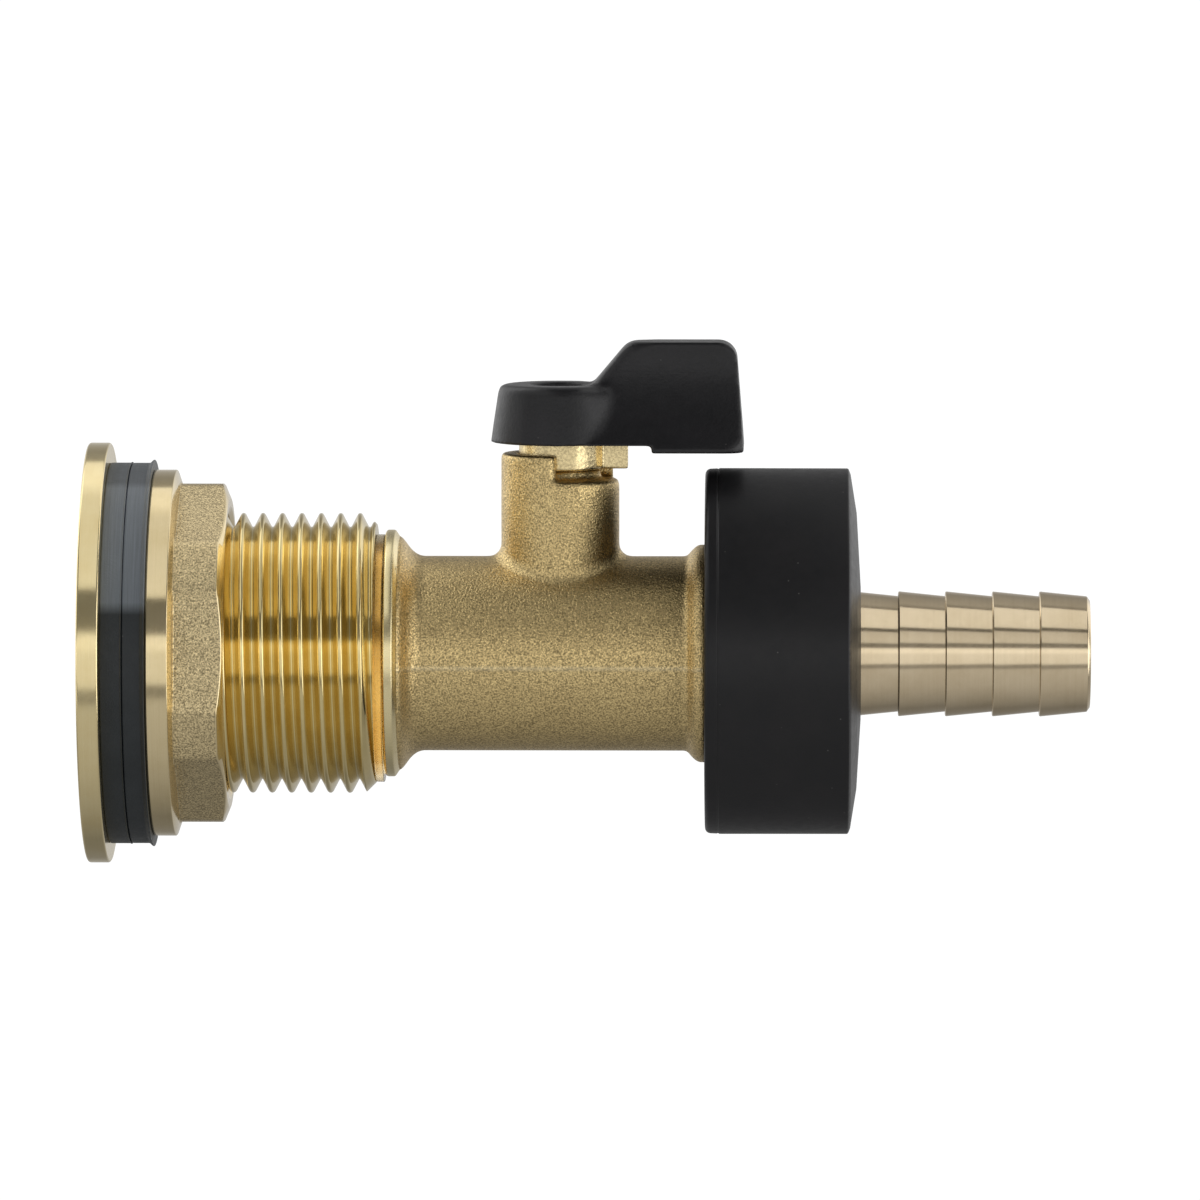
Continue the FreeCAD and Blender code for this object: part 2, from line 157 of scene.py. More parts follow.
QUARTER_TURN = 0.25
TURNING_MARKS = (6.0, 0.05, 0.05)
ROUND_DRAGS = (7.0, 0.12, 0.12)
LEVEL_DRAGS = (0.15, 0.15, 6.0)
SHEEN_STREAKS = (5.0, 0.1, 0.1)
SEAM_Z, SEAM_HALF_WIDTH = -0.80, 0.42
SEAM_COLOUR = (0.97, 0.84, 0.55)
DUST_COLOUR = (0.30, 0.29, 0.27)
PAINTED_SHEEN_COLOUR = (0.20, 0.225, 0.25)
# The rubber's painted highlight: its pale colour, the heights in mm where it rises and fades, and the share
# of it left at the top
PAINTED_SHEEN_START_Z, PAINTED_SHEEN_FULL_Z = 6.4, 7.8
PAINTED_SHEEN_FADE_Z, PAINTED_SHEEN_FADED_Z, PAINTED_SHEEN_LEFT = 20.3, 20.9, 0.45


def turned_metal(name, light, dark, rough, grooves=0.002, anisotropic=0.0):
    """Lathe-turned metal: fine rings round the X axis, faint tarnish and handling marks."""
    s = Shader(name)
    s.set("Metallic", 1.0)
    place = s.place()
    rings = s.noise(s.place(TURNING_MARKS), 1.0, 6.0, 0.75)
    tarnish = s.spread(s.noise(place, 0.22, 5.0, 0.62), 0.40, 0.72)
    streak = s.spread(rings, 0.35, 0.75)
    shade = s.math("ADD", s.math("MULTIPLY", tarnish, 0.56), s.math("MULTIPLY", streak, 0.40))
    s.set("Base Color", s.mix(shade, light, dark))
    s.set("Roughness", s.spread(s.noise(place, 1.4, 5.0, 0.7), 0.3, 0.7, *rough))
    s.set("Normal", s.bump(rings, grooves))
    if anisotropic:
        s.set("Anisotropic", anisotropic)
        s.set("Anisotropic Rotation", QUARTER_TURN)
        s.set("Tangent", s.add("Tangent", direction_type="RADIAL", axis="X").outputs[0])
    return s


def blasted_metal(name, light, dark, rough, grain=5.0, depth=0.09, pitted=0.40, seam=False):
    """Cast brass, shot blasted: bright facets and dark pits about a third of a millimetre across."""
    s = Shader(name)
    s.set("Metallic", 1.0)
    place = s.place()
    fine = s.noise(place, grain, 2.0, 0.6)
    pits = s.cells(place, grain * 0.8)
    patches = s.spread(s.noise(place, 0.16, 4.0, 0.6), 0.35, 0.7)
    base = s.mix(s.math("MULTIPLY", patches, 0.35), light, dark)
    sparkle = s.spread(fine, 0.36, 0.62, pitted, 1.16)
    colour = s.mix(1.0, base, sparkle, "MULTIPLY")
    low, high = rough
    s.set("Roughness", s.spread(fine, 0.35, 0.65, high, low))
    height = s.math("ADD", s.math("MULTIPLY", fine, 0.8), s.math("MULTIPLY", pits, 0.35))
    normal = s.bump(height, depth)
    if seam:
        line = parting_line(s, place)
        normal = s.bump(line, 0.05, normal)
        colour = s.mix(s.math("MULTIPLY", line, 0.30), colour, SEAM_COLOUR)
    s.set("Base Color", colour)
    s.set("Normal", normal)
    return s


def parting_line(s, place):
    """1 along the casting's seam, which wanders a little about one height, and 0 away from it."""
    off = s.math("ABSOLUTE", s.math("SUBTRACT", s.axis(place, "Z"), SEAM_Z))
    wander = s.math("MULTIPLY", s.math("SUBTRACT", s.noise(place, 0.5, 3.0), 0.5), 0.25)
    return s.spread(s.math("ADD", off, wander), 0.05, SEAM_HALF_WIDTH, 1.0, 0.0)


def moulded(name, light, dark, rough, grain, depth, streaks=None, specks=True, sheen_painted=False, extra=None):
    """Moulded plastic or rubber with a fine skin.

    streaks is (scales by axis, depth) for drag lines, and extra holds more of the shader's own settings.
    """
    s = Shader(name)
    place = s.place()
    patches = s.spread(s.noise(place, 0.18, 5.0, 0.62), 0.35, 0.72)
    colour = s.mix(patches, light, dark)
    # Paints a pale highlight over the rubber's upper half
    if sheen_painted:
        colour = s.mix(painted_sheen(s, place), colour, PAINTED_SHEEN_COLOUR)
    if specks:
        dust = s.spread(s.cells(place, 0.42), 0.0, 0.052, 1.0, 0.0)
        colour = s.mix(s.math("MULTIPLY", dust, 0.35), colour, DUST_COLOUR)
    s.set("Base Color", colour)
    s.set("Roughness", s.spread(s.noise(place, 0.9, 6.0, 0.7), 0.3, 0.7, *rough))
    normal = s.bump(s.noise(place, grain, 3.0, 0.6), depth)
    if streaks:
        scales, streak_depth = streaks
        normal = s.bump(s.noise(s.place(scales), 1.0, 4.0, 0.7), streak_depth, normal)
    s.set("Normal", normal)
    for socket, value in (extra or {}).items():
        s.set(socket, value)
    return s


def painted_sheen(s, place):
    """How much painted sheen the rubber gets: a painted highlight, most on the upper half, broken in streaks
    and less at the top.
    """
    z = s.axis(place, "Z")
    rise = s.spread(z, PAINTED_SHEEN_START_Z, PAINTED_SHEEN_FULL_Z)
    fade = s.spread(z, PAINTED_SHEEN_FADE_Z, PAINTED_SHEEN_FADED_Z, 1.0, PAINTED_SHEEN_LEFT)
    streaked = s.spread(s.noise(s.place(SHEEN_STREAKS), 1.0, 5.0, 0.7), 0.3, 0.7, 0.65, 1.0)
    return s.math("MULTIPLY", s.math("MULTIPLY", rise, fade), streaked)


RUBBER = {
    "light": (0.022, 0.027, 0.030), "dark": (0.014, 0.018, 0.020), "rough": (0.40, 0.54),
    "grain": 4.0, "depth": 0.03, "streaks": (ROUND_DRAGS, 0.016),
}
SHADERS = [
    turned_metal("turned_brass", (0.90, 0.745, 0.45), (0.76, 0.61, 0.33), (0.12, 0.18), anisotropic=0.4),
    turned_metal("flange_brass", (0.93, 0.785, 0.45), (0.84, 0.67, 0.34), (0.14, 0.20), anisotropic=0.4),
    turned_metal("pale_brass", (0.90, 0.745, 0.51), (0.76, 0.61, 0.39), (0.12, 0.18), anisotropic=0.4),
    turned_metal("collar_brass", (0.99, 0.85, 0.50), (0.90, 0.75, 0.40), (0.22, 0.30)),
    turned_metal("thread_brass", (0.88, 0.725, 0.37), (0.74, 0.59, 0.27), (0.10, 0.17)),
    turned_metal("steel", (0.55, 0.55, 0.54), (0.42, 0.41, 0.40), (0.25, 0.38)),
    turned_metal("chrome", (0.80, 0.81, 0.83), (0.72, 0.73, 0.75), (0.05, 0.09), grooves=0.0005),
    blasted_metal("cast_brass", (0.90, 0.68, 0.32), (0.72, 0.54, 0.25), (0.26, 0.38), seam=True),
    blasted_metal("nut_brass", (0.88, 0.71, 0.40), (0.72, 0.57, 0.31), (0.26, 0.38)),
    blasted_metal("plate_brass", (0.83, 0.68, 0.38), (0.70, 0.55, 0.28), (0.22, 0.34), grain=3.4, depth=0.03,
                  pitted=0.85),
    moulded("rubber", **RUBBER),
    # Rubber with a painted highlight on its upper half, for the washers
    moulded("sheen_painted_rubber", **RUBBER, sheen_painted=True),
    moulded("nylon", (0.94, 0.78, 0.50), (0.84, 0.66, 0.38), (0.10, 0.16), 3.0, 0.005, specks=False,
            extra={"Transmission Weight": 1.0, "IOR": 1.2}),
    moulded("seat_plastic", (0.72, 0.72, 0.70), (0.62, 0.62, 0.60), (0.35, 0.45), 3.0, 0.01, specks=False),
    moulded("handle_plastic", (0.009, 0.009, 0.010), (0.014, 0.013, 0.015), (0.30, 0.40), 2.4, 0.035,
            streaks=(LEVEL_DRAGS, 0.010), extra={"Specular IOR Level": 0.42}),
    moulded("nut_plastic", (0.009, 0.009, 0.010), (0.013, 0.012, 0.013), (0.34, 0.44), 4.0, 0.01,
            extra={"Specular IOR Level": 0.36}),
]
MATERIALS = {s.name: s.material for s in SHADERS}


# Mesh helpers

def rounded(points, segments=4):
    """A closed (x, radius) outline from points of (x, radius, rounding), with each corner rounded."""
    result = []
    for i, (x, r, rounding) in enumerate(points):
        here = Vector((x, r))
        back = Vector(points[i - 1][:2]) - here
        ahead = Vector(points[(i + 1) % len(points)][:2]) - here
        if rounding <= 0:
            result.append((x, r))
            continue
        half = back.angle(ahead) / 2
        reach = min(rounding / math.tan(half), 0.45 * back.length, 0.45 * ahead.length)
        start = here + back.normalized() * reach
        end = here + ahead.normalized() * reach
        centre = here + (back.normalized() + ahead.normalized()).normalized() * reach / math.cos(half)
        first, last = start - centre, end - centre
        turn = math.atan2(first.x * last.y - first.y * last.x, first.dot(last))
        for k in range(segments + 1):
            a = turn * k / segments
            result.append((centre.x + first.x * math.cos(a) - first.y * math.sin(a),
                           centre.y + first.x * math.sin(a) + first.y * math.cos(a)))
    return result


FINE = 192


def revolve(outline, columns=FINE, closed=True):
    """Vertices and faces of an outline turned about the X axis; a closed outline is a closed ring."""
    angles = [math.tau * j / columns for j in range(columns)]
    verts = [(x, r * math.cos(a), r * math.sin(a)) for x, r in outline for a in angles]
    rows = len(outline)
    faces = []
    for i in range(rows if closed else rows - 1):
        k = (i + 1) % rows
        for j in range(columns):
            m = (j + 1) % columns
            faces.append((i * columns + j, i * columns + m, k * columns + m, k * columns + j))
    return verts, faces


# A 55 degree pipe thread: the radii of its crest and root, and where its section is sampled, in pitches
CREST, ROOT = 0.137, 0.08
FLANK = math.radians(27.5)
OFF_CREST = (0.04, 0.08, 0.12, 0.18, 0.25, 0.34, 0.425, 0.45, 0.475)
PHASES = (-0.5, *(-u for u in reversed(OFF_CREST)), 0.0, *OFF_CREST)


def thread_drop(phase):
    """Depth below the crest, in pitches, at so many pitches from the crest."""
    u = abs((phase + 0.5) % 1 - 0.5)
    crest_end = CREST * math.cos(FLANK)
    root_start = 0.5 - ROOT * math.cos(FLANK)
    if u <= crest_end:
        return CREST - math.sqrt(CREST ** 2 - u ** 2)
    flank = CREST * (1 - math.sin(FLANK))
    if u <= root_start:
        return flank + (u - crest_end) / math.tan(FLANK)
    bottom = flank + (root_start - crest_end) / math.tan(FLANK) + ROOT * (1 - math.sin(FLANK))
    return bottom - (ROOT - math.sqrt(max(ROOT ** 2 - (0.5 - u) ** 2, 0)))


def helix(start, end, thread, limit, runout, deep=1.0):
    """A right-handed threaded surface, which fades in over the runout and keeps to the limit at each x.

    thread is (crest radius, pitch, x of a crest at angle 0).
    """
    crest_r, pitch, crest_x = thread
    rows = []
    for number in range(math.floor((start - crest_x) / pitch) - 2, math.ceil((end - crest_x) / pitch) + 2):
        rows += [crest_x + (number + phase) * pitch for phase in PHASES]
    verts, faces = [], []
    for base in rows:
        for j in range(FINE + 1):
            a = math.tau * j / FINE
            x = min(max(base + pitch * j / FINE, start), end)
            drop = thread_drop((x - crest_x) / pitch - j / FINE) * pitch * deep
            r = limit(x, crest_r - drop * smoothstep(x, start, start + runout))
            verts.append((x, r * math.cos(a), r * math.sin(a)))
    wide = FINE + 1
    for i in range(len(rows) - 1):
        for j in range(FINE):
            faces.append((i * wide + j, i * wide + j + 1, (i + 1) * wide + j + 1, (i + 1) * wide + j))
    return verts, faces


def finished(name, bm, materials):
    """The object of a bmesh in metres, welded, facing outward and shaded smooth."""
    bmesh.ops.remove_doubles(bm, verts=bm.verts, dist=0.0008 * MM)
    bmesh.ops.dissolve_degenerate(bm, edges=bm.edges, dist=0.0005 * MM)
    bmesh.ops.delete(bm, geom=[v for v in bm.verts if not v.link_faces], context="VERTS")
    bmesh.ops.recalc_face_normals(bm, faces=bm.faces)
    mesh = bpy.data.meshes.new(name)
    bm.to_mesh(mesh)
    bm.free()
    for face in mesh.polygons:
        face.use_smooth = True
    for material in materials:
        mesh.materials.append(MATERIALS[material])
    made = bpy.data.objects.new(name, mesh)
    scene.collection.objects.link(made)
    even = made.modifiers.new("even_normals", "WEIGHTED_NORMAL")
    even.weight = 80
    return made


def dressed(name, parts, body, materials, replaced=(), move=None):
    """A piece that rides on a body and stands for CAD nodes.

    Each of its parts is (vertices, faces, material index), and move shifts every point.
    """
    bm = bmesh.new()
    for verts, faces, *index in parts:
        corners = [bm.verts.new(Vector(move(*v) if move else v) * MM) for v in verts]
        for face in faces:
            polygon = bm.faces.new([corners[i] for i in face])
            polygon.material_index = index[0] if index else 0
    made = finished(name, bm, materials)
    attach(made, body)
    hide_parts(*replaced)
    return made


# Tank connector: flange and threaded barrel, turned from one piece

CONNECTOR_START, BARREL_END, FLANGE_R = span("tank_connector")
FLANGE_BACK = span("inner_washer")[0]
BARREL_R, BARREL_START, BARREL_TIP_R, BARREL_RUNOUT = 16.62, 0.2, 15.35, 1.2
BARREL_THREAD = (BARREL_R, 2.309, 19.53)
WATERWAY_R, SOCKET_R, SOCKET_FLOOR, SOCKET_MOUTH = 11.5, 13.3, 16.0, 26.5


def barrel_limit(x, r):
    return min(r, BARREL_TIP_R + (BARREL_END - x))


connector = rounded([
    (SOCKET_MOUTH, SOCKET_R, 0), (SOCKET_FLOOR, SOCKET_R, 0), (SOCKET_FLOOR, WATERWAY_R, 0.2),
    (CONNECTOR_START, WATERWAY_R, 0.3), (CONNECTOR_START, FLANGE_R, 0.32), (FLANGE_BACK, FLANGE_R, 0.3),
    (FLANGE_BACK, BARREL_R, 0), (BARREL_START, BARREL_R, 0),
])
connector_mouth = [
    (BARREL_END, BARREL_TIP_R), (BARREL_END, SOCKET_R + 0.65), (BARREL_END - 0.07, SOCKET_R + 0.55),
    (BARREL_END - 0.6, SOCKET_R), (SOCKET_MOUTH, SOCKET_R),
]
dressed(
    "tank_connector_turned",
    [
        (*revolve(connector, closed=False), 0),
        (*helix(BARREL_START, BARREL_END, BARREL_THREAD, barrel_limit, BARREL_RUNOUT), 1),
        (*revolve(connector_mouth, closed=False), 1),
    ],
    body="tap", materials=("flange_brass", "thread_brass"), replaced=("tank_connector",),
)


# Rubber washers, and the seal ring, which hangs low

GAP = 0.02
WASHER_BORE_R = 16.92
INNER_START, INNER_END, _ = span("inner_washer")
INNER_R, FLASH = 22.62, 0.13
OUTER_START, OUTER_END, _ = span("outer_washer")
OUTER_R, LIP_HEIGHT, LIP_WIDTH = 22.6, 0.38, 0.5
SEAL_START, SEAL_END, _ = span("seal_ring")
SEAL_BORE_R, SEAL_R, SEAL_DROP = 13.86, 14.71, 0.6


def wavy(x, y, z):
    """Moulded rubber is never quite round."""
    a = math.atan2(z, y)
    grow = 1 + 0.0012 * math.sin(3 * a + 0.6) + 0.0008 * math.sin(7 * a)
    return (x, y * grow, z * grow)


def hanging(x, y, z):
    return (x, y, z - SEAL_DROP)


inner_washer = rounded([
    (INNER_START, WASHER_BORE_R, 0.1), (INNER_START, INNER_R, 0.2), (INNER_END - 0.2, INNER_R, 0.1),
    (INNER_END - 0.05, INNER_R + FLASH, 0.04), (INNER_END - GAP, WASHER_BORE_R, 0.1),
])
outer_washer = rounded([
    (OUTER_START, WASHER_BORE_R, 0.1), (OUTER_START, OUTER_R, 0.22), (OUTER_END - LIP_WIDTH, OUTER_R, 0.15),
    (OUTER_END - 0.12, OUTER_R + LIP_HEIGHT - 0.03, 0.05), (OUTER_END, OUTER_R + LIP_HEIGHT, 0.04),
    (OUTER_END, WASHER_BORE_R, 0.1),
])
seal_ring = rounded([
    (SEAL_START + GAP, SEAL_BORE_R, 0.1), (SEAL_START + GAP, SEAL_R, 0.12), (SEAL_END - GAP, SEAL_R, 0.12),
    (SEAL_END - GAP, SEAL_BORE_R, 0.1),
])
dressed(
    "inner_washer_moulded", [revolve(inner_washer)],
    body="tap", materials=("sheen_painted_rubber",), replaced=("inner_washer",), move=wavy,
)
dressed(
    "outer_washer_moulded", [revolve(outer_washer)],
    body="clamp_washer", materials=("sheen_painted_rubber",), replaced=("outer_washer",), move=wavy,
)
dressed(
    "seal_ring_moulded", [revolve(seal_ring, columns=128)],
    body="tap", materials=("nylon",), replaced=("seal_ring",), move=hanging,
)


# Union nut, threaded inside to fit the outlet spigot

SPIGOT_R = 13.22
PIPE_PITCH, PIPE_CREST_X = 1.814, 70.4
UNION_START, UNION_END, UNION_R = span("union_nut")
UNION_THREAD = (SPIGOT_R + 0.08, PIPE_PITCH, PIPE_CREST_X)
UNION_THREAD_START, UNION_THREAD_END, UNION_FLOOR = 69.0, 81.6, 82.6
UNION_MOUTH_R, UNION_BORE_R, UNION_RELIEF_R, NOSE_BORE_R = 13.3, 12.15, 13.5, 7.73
UNION_RUNOUT, THREAD_DEPTH = 0.6, 0.85
GROOVE_X = 69.55
UNION_LIFT, LIFT_START_R, LIFT_FULL_R = 0.3, 14.6, 16.4


def union_limit(x, r):
    relief = smoothstep(x, UNION_THREAD_END - 1, UNION_THREAD_END)
    return max(r, UNION_BORE_R + (UNION_RELIEF_R - UNION_BORE_R) * relief)


def lifted(x, y, z):
    """The nut's outside sits a little higher than its bore."""
    return (x, y, z + UNION_LIFT * smoothstep(math.hypot(y, z), LIFT_START_R, LIFT_FULL_R))


union_nut = rounded([
    (UNION_THREAD_END, UNION_RELIEF_R, 0), (UNION_FLOOR, UNION_RELIEF_R, 0), (UNION_FLOOR, NOSE_BORE_R, 0.2),
    (UNION_END, NOSE_BORE_R, 0.35), (UNION_END - 0.5, UNION_R - 5.3, 1.2),
    (UNION_END - 1.23, UNION_R - 0.7, 0.3), (UNION_END - 1.5, UNION_R, 0.28),
    (GROOVE_X + 0.15, UNION_R + 0.02, 0.1), (GROOVE_X, UNION_R - 0.08, 0.05),
    (GROOVE_X - 0.15, UNION_R - 0.02, 0.1), (UNION_START, UNION_R - 0.08, 1.0),
    (UNION_START, UNION_MOUTH_R + 1, 0.2), (UNION_THREAD_START, UNION_MOUTH_R, 0),
])
dressed(
    "union_nut_moulded",
    [
        revolve(union_nut, closed=False),
        helix(UNION_THREAD_START, UNION_THREAD_END, UNION_THREAD, union_limit, UNION_RUNOUT, THREAD_DEPTH),
    ],
    body="union_nut", materials=("nut_plastic",), replaced=("union_nut",), move=lifted,
)


# Hosetail: each barb's crest has a small turned land

TAIL_START, TAIL_END, TAIL_FLANGE_R = span("hosetail")
TAIL_BORE_R, TAIL_FLANGE_END, TAIL_NECK_R = 5.4, 82.5, 7.3
BARB_R, BARB_ROOT_R, BARB_START, BARB_SPACING, BARB_COUNT = 7.43, 6.86, 85.3, 5.575, 5

hosetail = [
    (TAIL_START + GAP, TAIL_BORE_R, 0.15), (TAIL_START + GAP, TAIL_FLANGE_R, 0.2),
    (TAIL_FLANGE_END, TAIL_FLANGE_R, 0.2), (TAIL_FLANGE_END, TAIL_NECK_R, 0.2),
    (BARB_START, TAIL_NECK_R, 0), (BARB_START, BARB_R, 0.06),
]
for barb in range(1, BARB_COUNT):
    barb_x = BARB_START + BARB_SPACING * barb
    hosetail += [(barb_x, BARB_ROOT_R, 0.06), (barb_x, BARB_R, 0.16)]
hosetail += [
    (TAIL_END - 0.35, BARB_ROOT_R, 0.2), (TAIL_END, BARB_ROOT_R - 0.51, 0.15), (TAIL_END, TAIL_BORE_R, 0.08),
]
dressed(
    "hosetail_turned", [revolve(rounded(hosetail))],
    body="hosetail", materials=("pale_brass",), replaced=("hosetail",),
)


# Backnut: a turned flange, and a blasted hexagon whose corners are turned down

BACKNUT_START = span("backnut")[0]
BACKNUT_BORE_R, BACKNUT_MOUTH, BACKNUT_FLANGE_R = 16.7, 0.7, 21.75
CONE_START, CONE_END, CONE_R = 5.26, 5.74, 20.2
HEX_FLAT, HEX_CORNER, HEX_BLEND = 18.75, 20.1, 0.12
HEX_TURN = math.radians(5.7)
SIXTH = math.tau / 6
NUT_END, NUT_FACE_R, NUT_CHAMFER = 11.6, 18.4, 0.42


def hex_radius(angle):
    """Where the nut's side is at an angle from +Y towards +Z."""
    off = (angle + HEX_TURN + SIXTH / 2) % SIXTH - SIXTH / 2
    flat = HEX_FLAT / math.cos(off)
    share = min(max(0.5 + 0.5 * (HEX_CORNER - flat) / HEX_BLEND, 0), 1)
    return flat * share + HEX_CORNER * (1 - share) - HEX_BLEND * share * (1 - share)


def nut_profile(angle):
    """The nut's section at an angle, and the numbers of the blasted spans in it."""
    flat_r = hex_radius(angle)
    mouth_r = BACKNUT_BORE_R + BACKNUT_MOUTH
    flange = rounded([
        (BACKNUT_START + 1.4, BACKNUT_BORE_R, 0), (BACKNUT_START + BACKNUT_MOUTH, BACKNUT_BORE_R, 0.1),
        (BACKNUT_START, mouth_r, 0.1), (BACKNUT_START, BACKNUT_FLANGE_R, 0.28),
        (CONE_START, BACKNUT_FLANGE_R, 0.18), (CONE_END - 0.06, CONE_R + 0.3, 0.3), (CONE_END, CONE_R, 0),
    ])
    chamfer_x = NUT_END - (flat_r - NUT_FACE_R) * NUT_CHAMFER
    hexagon = rounded([
        (CONE_END + 0.02, min(flat_r + 0.4, CONE_R), 0), (CONE_END + 0.06, flat_r, 0.38),
        (chamfer_x - 0.1, flat_r, 0),
    ])
    end = rounded([
        (chamfer_x + 0.06, flat_r - 0.12, 0), (NUT_END, NUT_FACE_R, 0.12), (NUT_END, mouth_r, 0.1),
        (NUT_END - 0.4, BACKNUT_BORE_R, 0.1), (NUT_END - 0.6, BACKNUT_BORE_R, 0),
    ])
    first = len(flange)
    return flange + hexagon + end, range(first - 1, first + len(hexagon) - 1)


def backnut():
    """The sections joined round the X axis: turned spans first, then blasted ones."""
    columns = 2 * FINE
    verts, turned, blasted = [], [], []
    for j in range(columns):
        a = math.tau * j / columns
        profile, spans = nut_profile(a)
        verts += [(x, r * math.cos(a), r * math.sin(a)) for x, r in profile]
    rows = len(profile)
    for j in range(columns):
        here, there = j * rows, (j + 1) % columns * rows
        for i in range(rows):
            k = (i + 1) % rows
            face = (here + i, here + k, there + k, there + i)
            (blasted if i in spans else turned).append(face)
    return [(verts, turned, 0), (verts, blasted, 1)]


dressed(
    "backnut_cast", backnut(),
    body="backnut", materials=("turned_brass", "nut_brass"), replaced=("backnut",),
)


# The tap's machined ends: inlet spigot with collar, and outlet spigot with its thread

TAP_START, TAP_END, _ = span("tap_body")
INLET_BORE_R, OUTLET_BORE_R = 6.5, 8.05
COLLAR_START, COLLAR_END, COLLAR_R = SEAL_END, 31.75, 14.66
SHOULDER_R = 13.9
CAST_END, RELIEF_START, RELIEF_END, RELIEF_R, BEAD_END_R = 67.9, 68.4, 69.4, 11.7, 12.85
OUTLET_TIP_R, OUTLET_RUNOUT = 12.3, 0.01
OUTLET_THREAD = (SPIGOT_R, PIPE_PITCH, PIPE_CREST_X)


def outlet_limit(x, r):
    lead_in = RELIEF_R + 1.4 * (x - RELIEF_END)
    return min(max(r, RELIEF_R), OUTLET_TIP_R + TAP_END - x, lead_in)


collar = rounded([
    (TAP_START, INLET_BORE_R, 0.2), (TAP_START, SPIGOT_R - 0.62, 0.2), (TAP_START + 0.6, SPIGOT_R, 0.3),
    (COLLAR_START, SPIGOT_R, 0), (COLLAR_START, COLLAR_R - 0.66, 0.1),
    (COLLAR_START + 0.22, COLLAR_R, 0.35), (COLLAR_END - 0.53, COLLAR_R, 0.35),
    (COLLAR_END - 0.13, SHOULDER_R + 0.14, 0.15), (COLLAR_END, SHOULDER_R, 0), (COLLAR_END, INLET_BORE_R, 0),
])
outlet = rounded([
    (TAP_END, OUTLET_BORE_R, 0.15), (CAST_END, OUTLET_BORE_R, 0), (CAST_END, BEAD_END_R, 0),
    (RELIEF_START, BEAD_END_R, 0.1), (RELIEF_START, RELIEF_R, 0.1), (RELIEF_END, RELIEF_R, 0),
])
dressed("tap_collar", [revolve(collar)], body="tap", materials=("collar_brass",))
dressed(
    "outlet_spigot",
    [
        revolve(outlet, closed=False),
        helix(RELIEF_END, TAP_END, OUTLET_THREAD, outlet_limit, OUTLET_RUNOUT),
        revolve([(TAP_END, OUTLET_TIP_R), (TAP_END, OUTLET_BORE_R + 0.25)], closed=False),
    ],
    body="tap", materials=("turned_brass",),
)


# Cast and moulded pieces: soft-edged copies of their solids

def copied(node_name, between=()):
    """A welded copy of a CAD node's mesh, cut off and closed at two places along X where they are given."""
    bm = bmesh.new()
    bm.from_mesh(nodes[node_name].data)
    bmesh.ops.remove_doubles(bm, verts=bm.verts, dist=0.002 * MM)
    for x, cleared in zip(between, ("clear_inner", "clear_outer")):
        geom = [*bm.verts, *bm.edges, *bm.faces]
        cut = bmesh.ops.bisect_plane(bm, geom=geom, plane_co=(x * MM, 0, 0), plane_no=(1, 0, 0),
                                     **{cleared: True})
        rim = [e for e in cut["geom_cut"] if isinstance(e, bmesh.types.BMEdge)]
        bmesh.ops.bridge_loops(bm, edges=rim)
    bmesh.ops.recalc_face_normals(bm, faces=bm.faces)
    mesh = bpy.data.meshes.new(node_name)
    bm.to_mesh(mesh)
    bm.free()
    return mesh


def apply_modifier(made, kind, **settings):
    modifier = made.modifiers.new(kind.lower(), kind)
    for key, value in settings.items():
        setattr(modifier, key, value)
    result = bpy.data.meshes.new_from_object(made.evaluated_get(bpy.context.evaluated_depsgraph_get()))
    made.modifiers.clear()
    made.data = result


def soften(made, weight, iterations):
    """Smooths a piece more where weight, from 0 to 1 by place, says so."""
    group = made.vertex_groups.new(name="soft")
    for v in made.data.vertices:
        share = weight(v.co / MM)
        if share > 0.01:
            group.add([v.index], share, "REPLACE")
    apply_modifier(made, "SMOOTH", factor=0.5, iterations=iterations, vertex_group=group.name)


def remeshed(name, mesh, voxel, smoothing, soft=None, shape=None):
    """An object of a mesh, remeshed and smoothed; soft is for soften, and shape moves its points."""
    made = bpy.data.objects.new(name, mesh)
    scene.collection.objects.link(made)
    apply_modifier(made, "REMESH", mode="VOXEL", voxel_size=voxel * MM)
    apply_modifier(made, "SMOOTH", factor=0.5, iterations=smoothing)
    if soft:
        soften(made, *soft)
    if shape:
        for v in made.data.vertices:
            v.co = Vector(shape(v.co / MM)) * MM
    for face in made.data.polygons:
        face.use_smooth = True
    made.data.name = name
    return made


def stand_in(made, node_name, material, body):
    """Makes a piece ride on a body in place of a CAD node."""
    made.data.materials.clear()
    made.data.materials.append(MATERIALS[material])
    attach(made, body)
    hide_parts(node_name)


# The tap body's outside beside the collar and beside the union nut, as (x, radius, slope)
TUBE_R = 11.55
SHOULDER = ((COLLAR_END, SHOULDER_R, -0.5), (32.7, 12.86, -1.4), (34.8, TUBE_R, 0))
BEAD = ((65.3, TUBE_R, 0), (66.1, 11.89, 1.2), (67.5, 12.92, 0))
VALVE_X, TOWER_R, TOWER_FOOT_Z, SHELF_Z = 50.8, 7.0, 13.8, 20.9
CAST_SPAN = (COLLAR_END - 0.45, RELIEF_START - 0.1)


def along(knots, x):
    """The radius at x of a smooth line through the knots."""
    if x <= knots[0][0]:
        return knots[0][1]
    for (x0, r0, slope0), (x1, r1, slope1) in zip(knots, knots[1:]):
        if x <= x1:
            wide = x1 - x0
            t = (x - x0) / wide
            level = r0 + (r1 - r0) * t * t * (3 - 2 * t)
            return level + wide * t * (1 - t) * (slope0 * (1 - t) - slope1 * t)
    return knots[-1][1]


